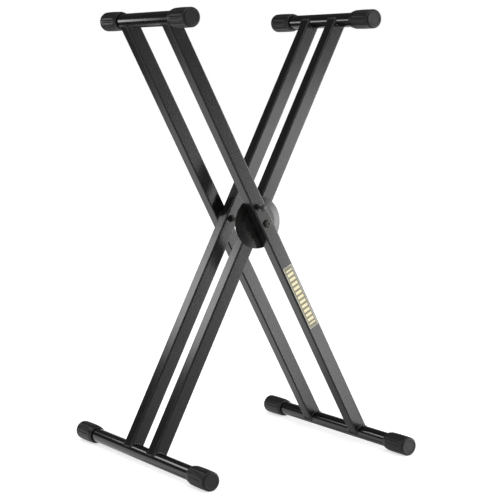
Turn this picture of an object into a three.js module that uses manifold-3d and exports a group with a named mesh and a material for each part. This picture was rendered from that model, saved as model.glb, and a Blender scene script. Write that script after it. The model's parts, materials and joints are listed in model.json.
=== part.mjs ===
// Folding keyboard stand: two crossed frames of square tube, each a pair of legs welded to a
// round top bar and a round foot bar. The frames turn on one long bolt, and a spring plunger
// in the outer frame locks into a disc on the inner frame. Rubber caps close the bars.
//
// Millimetres, +Z up, +X to the right, +Y to the back. The origin is on the floor, under the
// pivot. The stand is at its highest setting, with the plunger pulled out of the disc.
import * as THREE from "three";
import { mergeVertices } from "three/addons/utils/BufferGeometryUtils.js";
import Module from "manifold-3d";

const wasm = await Module();
wasm.setup();

// ---- Frames -------------------------------------------------------------------------------
const LEG_UPPER = 470; // pivot to the axis of a top bar
const LEG_LOWER = 530; // pivot to the axis of a foot bar
const HALF_OPENING = THREE.MathUtils.degToRad(27.4); // each leg from upright at the highest setting
const TUBE = 30; // square leg tube, across flats
const TUBE_WALL = 1.5;
const TUBE_CORNER = 3; // outside radius of the tube's edges
const INNER_SPREAD = 98; // between the centre lines of the inner legs
const LEG_GAP = 7; // between an inner leg and the outer leg beside it
const BAR_D = 30; // round top and foot bars
const BAR_WALL = 1.5;

// ---- Bare bar between a leg and the cap beyond it -----------------------------------------------
const OUTER_TOP_BARE = 5;
const OUTER_FOOT_BARE = 95;
const INNER_TOP_BARE = 48;
const INNER_FOOT_BARE = 139;

// ---- Rubber caps ------------------------------------------------------------------------------
const CAP_LENGTH = 68;
const CAP_WALL = 4.9; // rubber round the bar
const CAP_MOUTH_WALL = 3; // rubber left round the bar at the mouth
const CAP_END = 7; // closed end wall
const CAP_EDGE = 4; // radius at the closed end
const CAP_SHOULDER = 6; // length of the slope at the mouth
const CAPS_APART = 1; // between the top caps when the stand is folded flat

// ---- Pivot ------------------------------------------------------------------------------------
const BOLT_D = 8;
const BOLT_HEAD_LEDGE = 3.5; // head past the shank, on the radius
const BOLT_HEAD_H = 4.4;
const BOLT_HEAD_FLAT = 8.4; // diameter of the flat on top of the head
const BOLT_HEAD_RIM = 0.8; // straight side of the head
const BOLT_SOCKET = 5; // hexagon socket, across flats
const BOLT_SOCKET_DEPTH = 2.6;
const BOLT_TAIL = 2.5; // thread past the end nut
const BOLT_POINT = 1; // bevel at the thread's end
const WASHER_LEDGE = 4.2; // washer past its hole, on the radius
const WASHER_T = 1.6;
const NUT_LEDGE = 2.5; // nut's flats past the thread, on the radius
const JAM_NUT_H = 5;
const END_NUT_H = 8;
const BUSH_WALL = 1.7; // nylon bush through an inner leg
const SLEEVE_WALL = 2.2; // steel sleeve inside an outer leg
const SPACER_LEDGE = 9.7; // nylon washers between the frames, past the hole on the radius

// ---- Locking disc -----------------------------------------------------------------------------
const DISC_D = 110;
const DISC_WEB = 3.5;
const DISC_SHOULDER = 14; // width of the slope from the flat web out to the edge
const DISC_EDGE = 1; // thickness at the edge
const INDEX_INSET = 2.4; // edge of the web to the circle of pin holes
const INDEX_STEPS = 4; // settings below the highest one
const INDEX_STEP = THREE.MathUtils.degToRad(13.05);
const PIN_HOLE_FLOOR = 0.7; // metal left behind a pin hole
const RIVET_INSET = 5.5; // edge of the web to the lower rivet
const RIVET_D = 4.8;
const RIVET_HEAD_LEDGE = 2.1; // head past the shank, on the radius
const RIVET_HEAD_H = 1.3;
const RIVET_HEAD_FLAT = 5;
const RIVET_TAIL_LEDGE = 1.1; // bulb past the shank, on the radius
const RIVET_TAIL = 3; // length of the bulb inside the tube
const RIVET_TAIL_SLOPE = 0.8;

// ---- Spring plunger ---------------------------------------------------------------------------
const PIN_D = 6;
const PIN_TRAVEL = 6;
const PIN_POINT = 0.8; // bevel at the tip
const SPRING_WALL = 0.9; // thickness of the wire
const SPRING_L = 8; // pulled out, with its turns closed up
const COLLAR_PAST_SPRING = 0.2; // collar past the spring, on the radius
const COLLAR_T = 2;
const BARREL_WALL = 1.1;
const BARREL_L = 19; // from the leg's face inwards
const FLANGE_LEDGE = 1.7; // flange past the barrel, on the radius
const FLANGE_FLAT_LEDGE = 1.2; // the same at its two spanner flats
const FLANGE_T = 2;
const KNOB_WALL = 3.7; // round the pin's seat
const KNOB_NECK_WALL = 1.7;
const KNOB_NECK_L = 1; // straight part of the neck
const KNOB_HEAD_L = 4.4; // front of the knob to the start of its waist
const KNOB_L = 8;
const KNOB_ROUND = 2.2;
const KNOB_SEAT = 6; // depth of the pin's seat in the knob

// ---- Label ------------------------------------------------------------------------------------
const LABEL_MARGIN = 3; // leg's edge to the label's edge
const LABEL_L = 150;
const LABEL_T = 0.4;
const LABEL_START = 104; // pivot to the label's upper end, down the leg
const LABEL_CORNER = 3;

// ---- Fits and facets ----------------------------------------------------------------------------
const SEAT = 0.3; // between faces that touch
const RUN = 0.3; // round a shaft or in a bore, on the radius
const PAST = 1; // a cutter past the face that it opens
const ROUND = 32; // sides of bars and caps
const SMALL_ROUND = 20; // sides of bolts, bushes and other small turned pieces
const DISC_ROUND = 64; // sides of the disc

// ---- Places worked out from the sizes ------------------------------------------------------------
const innerY = INNER_SPREAD / 2; // centre of an inner leg
const outerY = innerY + TUBE + LEG_GAP; // centre of an outer leg
const innerFace = innerY + TUBE / 2; // outside face of an inner leg
const outerFace = outerY + TUBE / 2; // outside face of an outer leg
const outerBack = outerY - TUBE / 2; // face of an outer leg towards the inner leg
const capBore = BAR_D + 2 * RUN;
const capD = capBore + 2 * CAP_WALL;
const pivotZ = LEG_LOWER * Math.cos(HALF_OPENING) + capD / 2;
const closedOpening = 2 * Math.asin((capD + CAPS_APART) / (2 * LEG_UPPER));
const boltHole = BOLT_D + 2 * RUN;
const spacerD = boltHole + 2 * SPACER_LEDGE;
const pinHole = PIN_D + 2 * RUN;
const webNear = -(innerFace + SEAT + DISC_WEB); // front face of the disc's web
const webRadius = DISC_D / 2 - DISC_SHOULDER; // where the flat web ends
const indexRadius = webRadius - INDEX_INSET; // pivot to plunger
const rivetLower = webRadius - RIVET_INSET; // pivot to the rivet below it
const rivetUpper = (spacerD / 2 + indexRadius - pinHole / 2) / 2; // midway from washer to pin holes
const rivetHole = RIVET_D + 2 * RUN;

// ---- Solids -----------------------------------------------------------------------------------

// A closed geometry as a solid that can be cut.
function solid(geometry) {
  const bare = geometry.clone();
  bare.deleteAttribute("normal");
  bare.deleteAttribute("uv");
  const merged = mergeVertices(bare, 1e-4);
  return new wasm.Manifold(
    new wasm.Mesh({
      numProp: 3,
      vertProperties: new Float32Array(merged.attributes.position.array),
      triVerts: new Uint32Array(merged.index.array),
    }),
  );
}

// The geometry with each of the cutters taken away.
function cut(geometry, cutters) {
  let left = solid(geometry);
  for (const cutter of cutters) left = left.subtract(solid(cutter));
  const mesh = left.getMesh();
  const made = new THREE.BufferGeometry();
  made.setAttribute("position", new THREE.BufferAttribute(mesh.vertProperties, 3));
  made.setIndex(new THREE.BufferAttribute(mesh.triVerts, 1));
  made.computeVertexNormals();
  return made;
}

// Radius to the corners of a many-sided round whose flats are d apart.
const cornerRadius = (d, sides) => d / 2 / Math.cos(Math.PI / sides);

// A turned piece about the Y axis. The profile is a list of [diameter, y], and a flat of the
// round faces straight up and another straight down.
function turned(profile, sides = SMALL_ROUND) {
  const points = profile.map(([d, y]) => new THREE.Vector2(cornerRadius(d, sides), y));
  return new THREE.LatheGeometry(points, sides, Math.PI / sides);
}

// A rounded edge of a profile, from a flat end of diameter inner at y0 to diameter outer at y1.
function roundedEdge(inner, outer, y0, y1, steps = 2) {
  const points = [];
  for (let k = 0; k <= steps; k++) {
    const angle = (k / steps) * (Math.PI / 2);
    const d = inner + (outer - inner) * Math.sin(angle);
    points.push([d, y0 + (y1 - y0) * (1 - Math.cos(angle))]);
  }
  return points;
}

// A ring about the Y axis, from y0 to y1.
function ring(outside, bore, y0, y1, sides = SMALL_ROUND) {
  const profile = [[outside, y0], [outside, y1], [bore, y1], [bore, y0], [outside, y0]];
  return turned(profile, sides);
}

// A plain round along Y, for cutting a hole at (x, z).
function drill(d, y0, y1, x = 0, z = 0, sides = SMALL_ROUND) {
  return turned([[0, y0], [d, y0], [d, y1], [0, y1]], sides).translate(x, 0, z);
}

// A hexagonal prism along Y with its flats this far apart.
function hexagon(flats, y0, y1) {
  const radius = cornerRadius(flats, 6);
  return new THREE.CylinderGeometry(radius, radius, y1 - y0, 6).translate(0, (y0 + y1) / 2, 0);
}

// A rectangular outline with rounded corners, centred on the origin.
function roundedOutline(path, width, length, radius) {
  const x = width / 2 - radius;
  const y = length / 2 - radius;
  path.moveTo(x, -y - radius);
  path.absarc(x, -y, radius, -Math.PI / 2, 0);
  path.absarc(x, y, radius, 0, Math.PI / 2);
  path.absarc(-x, y, radius, Math.PI / 2, Math.PI);
  path.absarc(-x, -y, radius, Math.PI, Math.PI * 1.5);
  path.closePath();
  return path;
}

// ---- Finishes ---------------------------------------------------------------------------------
const FINISHES = {
  powderCoat: { color: 0x1d1d1b, roughness: 0.34, metalness: 0.2 },
  rubber: { color: 0x171716, roughness: 0.85, metalness: 0 },
  nylon: { color: 0x20201f, roughness: 0.55, metalness: 0 },
  plating: { color: 0x8d8d8a, roughness: 0.35, metalness: 1 },
  blackSteel: { color: 0x161616, roughness: 0.4, metalness: 0.6 },
  plastic: { color: 0x101010, roughness: 0.3, metalness: 0 },
  print: { color: 0xd9cfa6, roughness: 0.5, metalness: 0 },
};

function add(group, name, geometry, finish) {
  const mesh = new THREE.Mesh(geometry, new THREE.MeshStandardMaterial(FINISHES[finish]));
  mesh.name = name;
  group.add(mesh);
}

// ---- Frames: legs and bars ------------------------------------------------------------------------

// A leg along Z with its pivot at the origin. Both ends are cut to the round of the bars, and
// holes are drilled across it along Y.
function leg(holes) {
  const outline = roundedOutline(new THREE.Shape(), TUBE, TUBE, TUBE_CORNER);
  const inside = TUBE - 2 * TUBE_WALL;
  outline.holes.push(roundedOutline(new THREE.Path(), inside, inside, TUBE_CORNER - TUBE_WALL));
  const blank = new THREE.ExtrudeGeometry(outline, {
    depth: LEG_UPPER + LEG_LOWER,
    bevelEnabled: false,
    curveSegments: 3,
  });
  blank.translate(0, 0, -LEG_LOWER);
  const ends = [LEG_UPPER, -LEG_LOWER].map((z) => drill(BAR_D + 2 * SEAT, -TUBE, TUBE, 0, z, ROUND));
  return cut(blank, [...ends, ...holes]);
}

// A hole through both walls of a leg.
const throughHole = (d) => drill(d, -TUBE, TUBE);

// A hole through the wall of a leg that faces the front (-1) or the back (1).
function wallHole(d, facing, z) {
  const [y0, y1] = facing < 0 ? [-TUBE, 0] : [0, TUBE];
  return drill(d, y0, y1, 0, z);
}

function bar(span) {
  const end = span / 2 - CAP_END - SEAT;
  return ring(BAR_D, BAR_D - 2 * BAR_WALL, -end, end, ROUND);
}

// A rubber cap whose closed end is at y = 0 and whose mouth faces +Y.
function cap() {
  const profile = [
    [0, 0],
    ...roundedEdge(capD - 2 * CAP_EDGE, capD, 0, CAP_EDGE),
    [capD, CAP_LENGTH - CAP_SHOULDER],
    [capBore + 2 * CAP_MOUTH_WALL, CAP_LENGTH],
    [capBore, CAP_LENGTH],
    [capBore, CAP_END],
    [0, CAP_END],
  ];
  return turned(profile, ROUND);
}

// A bar along Y at (x, z) with a cap on each end. It passes the legs' outside faces, which are
// legFace from the middle, by a bare stretch and the caps.
function cappedBar(group, name, legFace, bare, x, z) {
  const span = 2 * (legFace + bare + CAP_LENGTH);
  add(group, name, bar(span).translate(x, 0, z), "powderCoat");
  const near = cap().translate(x, -span / 2, z);
  const far = cap().rotateX(Math.PI).translate(x, span / 2, z);
  add(group, `${name}_cap_near`, near, "rubber");
  add(group, `${name}_cap_far`, far, "rubber");
}

// Both bars of the frame whose legs lean to this side at the top: -1 left, 1 right.
function bars(group, frame, lean, legFace, topBare, footBare) {
  const across = lean * Math.sin(HALF_OPENING);
  const up = Math.cos(HALF_OPENING);
  const topZ = pivotZ + up * LEG_UPPER;
  const footZ = pivotZ - up * LEG_LOWER;
  cappedBar(group, `${frame}_top_bar`, legFace, topBare, across * LEG_UPPER, topZ);
  cappedBar(group, `${frame}_foot_bar`, legFace, footBare, -across * LEG_LOWER, footZ);
}

// ---- Pivot ------------------------------------------------------------------------------------

// The long bolt through all four legs, with a low round head at the front.
function pivotBolt() {
  const under = -(outerFace + SEAT + WASHER_T + SEAT);
  const top = under - BOLT_HEAD_H;
  const headD = BOLT_D + 2 * BOLT_HEAD_LEDGE;
  const end = outerFace + SEAT + WASHER_T + SEAT + END_NUT_H + BOLT_TAIL;
  const blank = turned([
    [0, top],
    ...roundedEdge(BOLT_HEAD_FLAT, headD, top, under - BOLT_HEAD_RIM),
    [headD, under],
    [BOLT_D, under],
    [BOLT_D, end - BOLT_POINT],
    [BOLT_D - 2 * BOLT_POINT, end],
    [0, end],
  ]);
  return cut(blank, [hexagon(BOLT_SOCKET, top - PAST, top + BOLT_SOCKET_DEPTH)]);
}

// A nut from y, towards +Y.
function nut(height, y) {
  const blank = hexagon(BOLT_D + 2 * NUT_LEDGE, y, y + height);
  return cut(blank, [drill(boltHole, y - PAST, y + height + PAST)]);
}

// A steel washer from y, towards +Y.
const washer = (y) => ring(boltHole + 2 * WASHER_LEDGE, boltHole, y, y + WASHER_T);

// The bolt and what is on it, on the pivot axis.
function pivotPieces(group) {
  const jamFace = innerY - TUBE / 2 - SEAT; // washers against the inner legs' inside faces
  const jamNutY = jamFace - WASHER_T - SEAT - JAM_NUT_H;
  const endNutY = outerFace + SEAT + WASHER_T + SEAT;
  add(group, "pivot_bolt", pivotBolt(), "blackSteel");
  add(group, "bolt_head_washer", washer(-outerFace - SEAT - WASHER_T), "blackSteel");
  add(group, "end_nut_washer", washer(outerFace + SEAT), "plating");
  add(group, "end_lock_nut", nut(END_NUT_H, endNutY), "plating");
  add(group, "jam_washer_near", washer(-jamFace), "blackSteel");
  add(group, "jam_washer_far", washer(jamFace - WASHER_T), "blackSteel");
  add(group, "jam_nut_near", nut(JAM_NUT_H, -jamNutY - JAM_NUT_H), "blackSteel");
  add(group, "jam_nut_far", nut(JAM_NUT_H, jamNutY), "blackSteel");
  const friction = ring(spacerD, boltHole, -outerBack + SEAT, webNear - SEAT);
  add(group, "friction_washer_near", friction, "nylon");
  const spacer = ring(spacerD, boltHole, innerFace + SEAT, outerBack - SEAT);
  add(group, "spacer_washer_far", spacer, "nylon");
  const sleeveEnd = TUBE / 2 - TUBE_WALL - SEAT;
  const sleeve = () => ring(boltHole + 2 * SLEEVE_WALL, boltHole, -sleeveEnd, sleeveEnd);
  add(group, "crush_sleeve_near", sleeve().translate(0, -outerY, 0), "plating");
  add(group, "crush_sleeve_far", sleeve().translate(0, outerY, 0), "plating");
}

// ---- Locking disc -----------------------------------------------------------------------------

// Where the plunger meets the disc when the legs are this far open, from the inner leg's line.
function onDisc(opening) {
  return [-indexRadius * Math.sin(opening), indexRadius * Math.cos(opening)];
}

function lockDisc() {
  const back = -innerFace - SEAT;
  const profile = [
    [boltHole, webNear],
    [2 * webRadius, webNear],
    [DISC_D, back - DISC_EDGE],
    [DISC_D, back],
    [boltHole, back],
    [boltHole, webNear],
  ];
  const openings = [closedOpening];
  for (let k = 0; k <= INDEX_STEPS; k++) openings.push(2 * HALF_OPENING + k * INDEX_STEP);
  const hole = (d, end, x, z) => drill(d, webNear - PAST, end, x, z);
  const pinHoles = openings.map((opening) => {
    return hole(pinHole, back - PIN_HOLE_FLOOR, ...onDisc(opening));
  });
  const rivetHoles = [rivetUpper, -rivetLower].map((z) => hole(rivetHole, back + PAST, 0, z));
  return cut(turned(profile, DISC_ROUND), [...pinHoles, ...rivetHoles]);
}

// A blind rivet from the disc into the leg's wall, with its bulb inside the tube.
function discRivet(z) {
  const headBack = webNear - SEAT;
  const head = headBack - RIVET_HEAD_H;
  const bulb = -innerFace + TUBE_WALL + SEAT;
  const bulbEnd = bulb + RIVET_TAIL;
  const bulbD = RIVET_D + 2 * RIVET_TAIL_LEDGE;
  return turned([
    [0, head],
    ...roundedEdge(RIVET_HEAD_FLAT, RIVET_D + 2 * RIVET_HEAD_LEDGE, head, headBack),
    [RIVET_D, headBack],
    [RIVET_D, bulb],
    [bulbD, bulb + RIVET_TAIL_SLOPE],
    [bulbD, bulbEnd - RIVET_TAIL_SLOPE],
    [RIVET_D, bulbEnd],
    [0, bulbEnd],
  ]).translate(0, 0, z);
}

// ---- Spring plunger ---------------------------------------------------------------------------
const springD = pinHole + 2 * SPRING_WALL;
const collarD = springD + 2 * COLLAR_PAST_SPRING;
const barrelBore = collarD + 2 * RUN;
const barrelD = barrelBore + 2 * BARREL_WALL;
const flangeBack = -outerFace - SEAT; // flange against the leg's front face
const flangeFront = flangeBack - FLANGE_T;
const springSeat = flangeFront + FLANGE_T / 2; // end of the barrel's wide bore
const collarFront = springSeat + SEAT + SPRING_L + SEAT;
const pinTip = -outerBack - SEAT; // pulled back inside the leg's wall
const knobBack = flangeFront - SEAT - PIN_TRAVEL;

function plungerBarrel() {
  const end = -outerFace + BARREL_L;
  const flangeD = barrelD + 2 * FLANGE_LEDGE;
  const blank = turned([
    [pinHole, flangeFront],
    [flangeD, flangeFront],
    [flangeD, flangeBack],
    [barrelD, flangeBack],
    [barrelD, end],
    [barrelBore, end],
    [barrelBore, springSeat],
    [pinHole, springSeat],
    [pinHole, flangeFront],
  ]);
  const flat = barrelD / 2 + FLANGE_FLAT_LEDGE;
  const depth = FLANGE_T + PAST;
  const side = new THREE.BoxGeometry(flangeD, depth, flangeD);
  const sides = [-1, 1].map((s) => {
    return side.clone().translate(s * (flat + flangeD / 2), flangeBack - depth / 2, 0);
  });
  return cut(blank, sides);
}

function lockPin() {
  const end = knobBack - KNOB_SEAT + SEAT;
  return turned([
    [0, end],
    [PIN_D, end],
    [PIN_D, collarFront],
    [collarD, collarFront],
    [collarD, collarFront + COLLAR_T],
    [PIN_D, collarFront + COLLAR_T],
    [PIN_D, pinTip - PIN_POINT],
    [PIN_D - 2 * PIN_POINT, pinTip],
    [0, pinTip],
  ]);
}

function pullKnob() {
  const front = knobBack - KNOB_L;
  const knobD = pinHole + 2 * KNOB_WALL;
  const neckD = pinHole + 2 * KNOB_NECK_WALL;
  return turned([
    [0, front],
    ...roundedEdge(knobD - 2 * KNOB_ROUND, knobD, front, front + KNOB_ROUND),
    [knobD, front + KNOB_HEAD_L],
    [neckD, knobBack - KNOB_NECK_L],
    [neckD, knobBack],
    [pinHole, knobBack],
    [pinHole, knobBack - KNOB_SEAT],
    [0, knobBack - KNOB_SEAT],
  ]);
}

function plungerPieces(group) {
  add(group, "plunger_barrel", plungerBarrel(), "blackSteel");
  add(group, "lock_pin", lockPin(), "plating");
  const spring = ring(springD, pinHole, springSeat + SEAT, collarFront - SEAT);
  add(group, "plunger_spring", spring, "plating");
  add(group, "pull_knob", pullKnob(), "plastic");
}

// ---- Label ------------------------------------------------------------------------------------
function label() {
  const width = TUBE - 2 * LABEL_MARGIN;
  const outline = roundedOutline(new THREE.Shape(), width, LABEL_L, LABEL_CORNER);
  const flat = { depth: LABEL_T, bevelEnabled: false, curveSegments: 4 };
  const plate = new THREE.ExtrudeGeometry(outline, flat).rotateX(Math.PI / 2);
  return plate.translate(0, -outerFace - SEAT, -LABEL_START - LABEL_L / 2);
}

// ---- The stand --------------------------------------------------------------------------------
const stand = new THREE.Group();

const outerFrame = new THREE.Group();
outerFrame.position.z = pivotZ;
outerFrame.rotation.y = -HALF_OPENING;
const plungerHoles = [
  wallHole(barrelD + 2 * RUN, -1, indexRadius),
  wallHole(pinHole, 1, indexRadius),
];
const outerNear = leg([throughHole(boltHole), ...plungerHoles]);
add(outerFrame, "outer_leg_near", outerNear.translate(0, -outerY, 0), "powderCoat");
const outerFar = leg([throughHole(boltHole)]);
add(outerFrame, "outer_leg_far", outerFar.translate(0, outerY, 0), "powderCoat");
pivotPieces(outerFrame);
const plunger = new THREE.Group();
plunger.position.z = indexRadius;
plungerPieces(plunger);
outerFrame.add(plunger);
add(outerFrame, "label", label(), "print");

const innerFrame = new THREE.Group();
innerFrame.position.z = pivotZ;
innerFrame.rotation.y = HALF_OPENING;
const bushD = boltHole + 2 * BUSH_WALL;
const bushHole = throughHole(bushD + 2 * RUN);
const rivetHoles = [rivetUpper, -rivetLower].map((z) => wallHole(rivetHole, -1, z));
const innerNear = leg([bushHole, ...rivetHoles]);
add(innerFrame, "inner_leg_near", innerNear.translate(0, -innerY, 0), "powderCoat");
const innerFar = leg([bushHole]);
add(innerFrame, "inner_leg_far", innerFar.translate(0, innerY, 0), "powderCoat");
const bushEnd = TUBE / 2 - SEAT;
const bush = () => ring(bushD, boltHole, -bushEnd, bushEnd);
add(innerFrame, "pivot_bush_near", bush().translate(0, -innerY, 0), "nylon");
add(innerFrame, "pivot_bush_far", bush().translate(0, innerY, 0), "nylon");
add(innerFrame, "lock_disc", lockDisc(), "powderCoat");
add(innerFrame, "disc_rivet_upper", discRivet(rivetUpper), "blackSteel");
add(innerFrame, "disc_rivet_lower", discRivet(-rivetLower), "blackSteel");

stand.add(outerFrame, innerFrame);
bars(stand, "outer", -1, outerFace, OUTER_TOP_BARE, OUTER_FOOT_BARE);
bars(stand, "inner", 1, innerFace, INNER_TOP_BARE, INNER_FOOT_BARE);

export default stand;
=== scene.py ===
"""Folding keyboard stand: two crossed frames of black square tube on round bars with rubber caps.

Pieces are shaped in millimetres with the pivot axis along Y, then placed in the stand's own
frame, which is in metres. A leg's line is its local Z axis, with the pivot at zero.
"""
import json
import logging
import math
from dataclasses import dataclass
from enum import Enum

import bmesh
import bpy
from mathutils import Matrix, Vector

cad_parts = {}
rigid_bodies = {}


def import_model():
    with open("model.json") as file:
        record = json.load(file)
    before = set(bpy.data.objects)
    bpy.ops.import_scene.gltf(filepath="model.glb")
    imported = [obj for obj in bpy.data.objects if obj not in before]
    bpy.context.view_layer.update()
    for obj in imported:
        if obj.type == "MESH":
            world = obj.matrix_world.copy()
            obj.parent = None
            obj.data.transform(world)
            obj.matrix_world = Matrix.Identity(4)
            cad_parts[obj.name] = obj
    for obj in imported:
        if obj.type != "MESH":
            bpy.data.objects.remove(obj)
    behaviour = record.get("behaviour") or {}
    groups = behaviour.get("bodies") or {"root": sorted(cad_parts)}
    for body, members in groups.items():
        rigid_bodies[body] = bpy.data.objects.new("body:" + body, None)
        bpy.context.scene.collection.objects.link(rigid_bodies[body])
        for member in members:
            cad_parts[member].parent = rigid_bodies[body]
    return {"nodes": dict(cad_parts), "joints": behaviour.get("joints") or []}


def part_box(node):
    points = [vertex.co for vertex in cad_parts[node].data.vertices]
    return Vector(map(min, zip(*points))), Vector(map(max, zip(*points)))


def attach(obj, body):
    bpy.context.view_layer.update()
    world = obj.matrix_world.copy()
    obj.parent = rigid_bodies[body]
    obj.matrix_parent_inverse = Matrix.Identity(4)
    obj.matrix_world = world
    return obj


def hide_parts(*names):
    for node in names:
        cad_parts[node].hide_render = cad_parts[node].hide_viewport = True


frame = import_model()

LOG = logging.getLogger("keyboard_stand")
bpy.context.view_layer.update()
MM = 0.001
SEAT = 0.3  # mm between faces that touch
RUN = 0.3  # mm round a shaft or in a bore, on the radius
PAST = 1.0  # mm that a cutter passes the face that it opens
TUBE_WALL = 1.5  # mm, of legs and bars
SIDES = 64  # facets round a turned piece
SAME_POINT = 1e-4  # mm within which points are merged
NO_LENGTH = 1e-5  # mm below which an edge is dropped
ALIGNED = 0.99  # cosine above which an edge counts as lying along an axis
COLOUR_A, COLOUR_B, COLOUR_OUT = 6, 7, 2  # the colour sockets of a Mix node
ENDS = ("top", "foot")

Profile = list[tuple[float, float]]
Triple = tuple[float, float, float]
Tree = bpy.types.NodeTree
Socket = bpy.types.NodeSocket


# ---- Places read from the frame ----
def centre(node: str) -> Vector:
    """The middle of a node's box at rest, in millimetres."""
    low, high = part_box(node)
    return (low + high) / 2 / MM


def reach(node: str) -> float:
    """How far a node reaches along Y on each side of its middle, in millimetres."""
    low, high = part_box(node)
    return (high.y - low.y) / 2 / MM


class Option(Enum):
    """A choice whose name stands in the names of nodes."""

    @property
    def word(self) -> str:
        """The choice as nodes' names have it."""
        return self.name.lower()


class Side(Option):
    """The two sides of the stand: towards the camera and away from it."""

    NEAR = -1
    FAR = 1


class Frame(Option):
    """The two frames, by the way that their legs lean at the top."""

    OUTER = -1
    INNER = 1

    @property
    def body(self) -> str:
        """The moving body that the frame's pieces ride on."""
        return f"{self.word}_frame"


class Layout:
    """The stand's main measures, worked out from the frame, in millimetres and radians."""

    def __init__(self) -> None:
        """Reads the fold joint and the places of the bars and legs."""
        fold = next(joint for joint in frame["joints"] if joint["name"] == "fold")
        self.fold_low, self.fold_high = (math.radians(limit) for limit in fold["range_deg"])
        self.pivot_z = fold["pos_m"][2] / MM
        top = centre("outer_top_bar")
        foot = centre("outer_foot_bar")
        self.lean = math.atan2(abs(top.x), top.z - self.pivot_z)
        self.upper = math.hypot(top.x, top.z - self.pivot_z)
        self.lower = math.hypot(foot.x, foot.z - self.pivot_z)
        self.outer_y = abs(centre("outer_leg_near").y)
        self.inner_y = abs(centre("inner_leg_near").y)
        self.tube = 2 * reach("outer_leg_near")
        self.inner_face = self.inner_y + self.tube / 2  # an inner leg's outside face
        self.outer_face = self.outer_y + self.tube / 2  # an outer leg's outside face
        self.outer_back = self.outer_y - self.tube / 2  # an outer leg's face towards the inner leg

    def leg_space(self, owner: Frame) -> Matrix:
        """The matrix that takes a leg's own millimetres to the stand's metres."""
        turn = Matrix.Rotation(owner.value * self.lean, 4, "Y")
        return Matrix.Translation((0.0, 0.0, self.pivot_z * MM)) @ turn @ Matrix.Scale(MM, 4)

    def leg_y(self, owner: Frame, side: Side) -> float:
        """The centre line of a leg across the stand."""
        return side.value * (self.outer_y if owner is Frame.OUTER else self.inner_y)


# ---- Finishes ----
def linear(hex_colour: str) -> tuple[float, float, float, float]:
    """Turns an sRGB colour to the linear one that a shader works in.

    Args:
        hex_colour: six digits after a hash sign.

    Returns:
        Linear red, green, blue and an alpha of 1.
    """
    channels = (int(hex_colour[k : k + 2], 16) / 255 for k in (1, 3, 5))
    red, green, blue = (c / 12.92 if c <= 0.04045 else ((c + 0.055) / 1.055) ** 2.4 for c in channels)
    return (red, green, blue, 1.0)


def bare_tree(owner: bpy.types.Material | bpy.types.World) -> Tree:
    """Clears away the nodes that a new material or world starts with.

    Args:
        owner: the material or world.

    Returns:
        Its empty tree.
    """
    owner.use_nodes = True
    owner.node_tree.nodes.clear()
    return owner.node_tree


def add_node(
    tree: Tree, kind: str, settings: dict | None = None, links: dict | None = None
) -> bpy.types.Node:
    """Adds one node to a tree.

    Args:
        tree: the node tree.
        kind: the node's type name.
        settings: attributes by name, or input values by socket name or number.
        links: output sockets by the name or number of the input that they feed.

    Returns:
        The new node.
    """
    node = tree.nodes.new(kind)
    for key, value in (settings or {}).items():
        if isinstance(key, str) and hasattr(node, key):
            setattr(node, key, value)
        else:
            node.inputs[key].default_value = value
    for key, socket in (links or {}).items():
        tree.links.new(socket, node.inputs[key])
    return node


@dataclass(frozen=True)
class Finish:
    """A finish whose colour and gloss drift a little over the surface, with a fine grain.

    Sizes are real millimetres on the surface.
    """

    name: str
    slot: str
    colour: str
    drift_colour: str
    roughness: float
    roughness_drift: float
    patch_mm: float
    grain_mm: float
    grain_height_mm: float
    grain_stretch: Triple = (1.0, 1.0, 1.0)
    grain_detail: float = 2.0
    patch_detail: float = 4.0
    metallic: float = 0.0
    ior: float = 1.5

    def material(self) -> bpy.types.Material:
        """Makes the finish's material the first time that it is asked for.

        Returns:
            The one material of this finish.
        """
        made = bpy.data.materials.get(self.name)
        if made is None:
            made = bpy.data.materials.new(self.name)
            self.build(bare_tree(made))
        return made

    def build(self, tree: Tree) -> None:
        """Lays out the finish's nodes.

        Args:
            tree: the material's empty tree.
        """
        where = add_node(tree, "ShaderNodeTexCoord").outputs["Object"]
        patches = add_node(
            tree, "ShaderNodeTexNoise",
            {"Scale": 1 / (self.patch_mm * MM), "Detail": self.patch_detail}, {"Vector": where},
        ).outputs["Fac"]
        ground = add_node(
            tree, "ShaderNodeMix",
            {"data_type": "RGBA", COLOUR_A: linear(self.colour), COLOUR_B: linear(self.drift_colour)},
            {"Factor": patches},
        ).outputs[COLOUR_OUT]
        low, high = self.roughness - self.roughness_drift, self.roughness + self.roughness_drift
        gloss = add_node(tree, "ShaderNodeMapRange", {"To Min": low, "To Max": high}, {"Value": patches})
        settings = {"Metallic": self.metallic}
        if not self.metallic:
            settings["IOR"] = self.ior
        shader = add_node(
            tree, "ShaderNodeBsdfPrincipled", settings,
            {
                "Base Color": self.printed(tree, where, ground),
                "Roughness": gloss.outputs[0],
                "Normal": self.grain(tree, where),
            },
        )
        add_node(tree, "ShaderNodeOutputMaterial", {}, {"Surface": shader.outputs[0]})

    def printed(self, tree: Tree, where: Socket, ground: Socket) -> Socket:
        """The surface's colour, which without a print is its ground."""
        return ground

    def grain(self, tree: Tree, where: Socket) -> Socket:
        """Adds the fine relief of the surface.

        Args:
            tree: the material's tree.
            where: the place on the stand.

        Returns:
            The normal that the relief gives.
        """
        mapping = add_node(tree, "ShaderNodeMapping", {"Scale": self.grain_stretch}, {"Vector": where})
        noise = add_node(
            tree, "ShaderNodeTexNoise",
            {"Scale": 1 / (self.grain_mm * MM), "Detail": self.grain_detail},
            {"Vector": mapping.outputs[0]},
        )
        bump = add_node(
            tree, "ShaderNodeBump",
            {"Strength": 1.0, "Distance": self.grain_height_mm * MM}, {"Height": noise.outputs["Fac"]},
        )
        return bump.outputs["Normal"]


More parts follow.
